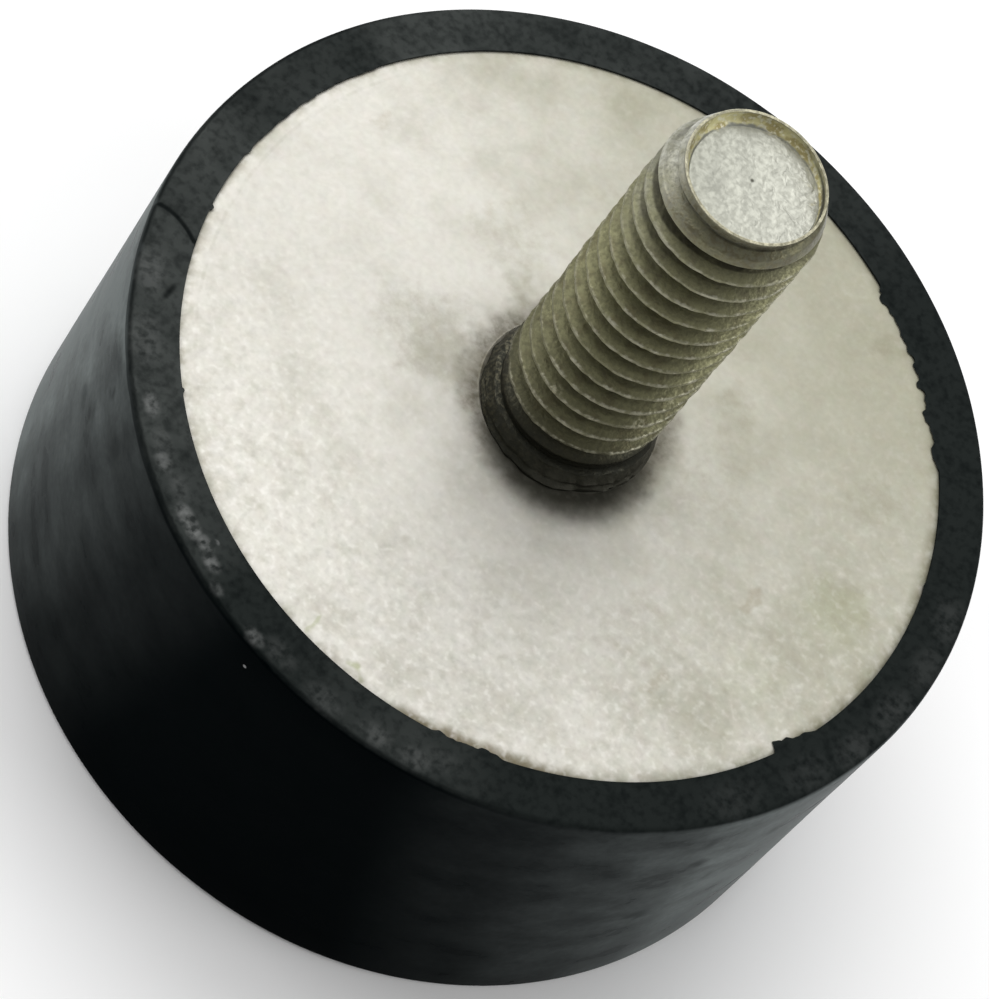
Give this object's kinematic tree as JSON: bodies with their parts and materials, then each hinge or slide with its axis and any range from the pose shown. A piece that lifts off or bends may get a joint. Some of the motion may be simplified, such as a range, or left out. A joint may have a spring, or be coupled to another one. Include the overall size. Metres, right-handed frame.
{
  "type": "engine mount",
  "caption": "Round bonded rubber engine mount: steel end plates in a black rubber block, a threaded stud above and a blind threaded bush below.",
  "frame": {"origin": "centre of the base face that the mount stands on", "axes": "+Z along the stud, out of the top plate; the mount is round, so X and Y are free"},
  "size_m": [0.05, 0.05, 0.0484],
  "materials": {
    "rubber": "moulded black, satin, with pale scuffs on its upper edge",
    "plate_zinc": "pale zinc plating with a fine sparkle and olive-grey stains",
    "thread_zinc": "dull zinc plating, grimy in the thread and worn pale on its crests"
  },
  "bodies": {
    "root": {"rubber_body": "rubber", "top_plate": "plate_zinc", "stud": "thread_zinc", "base_plate": "plate_zinc", "threaded_bush": "thread_zinc"}
  },
  "joints": []
}
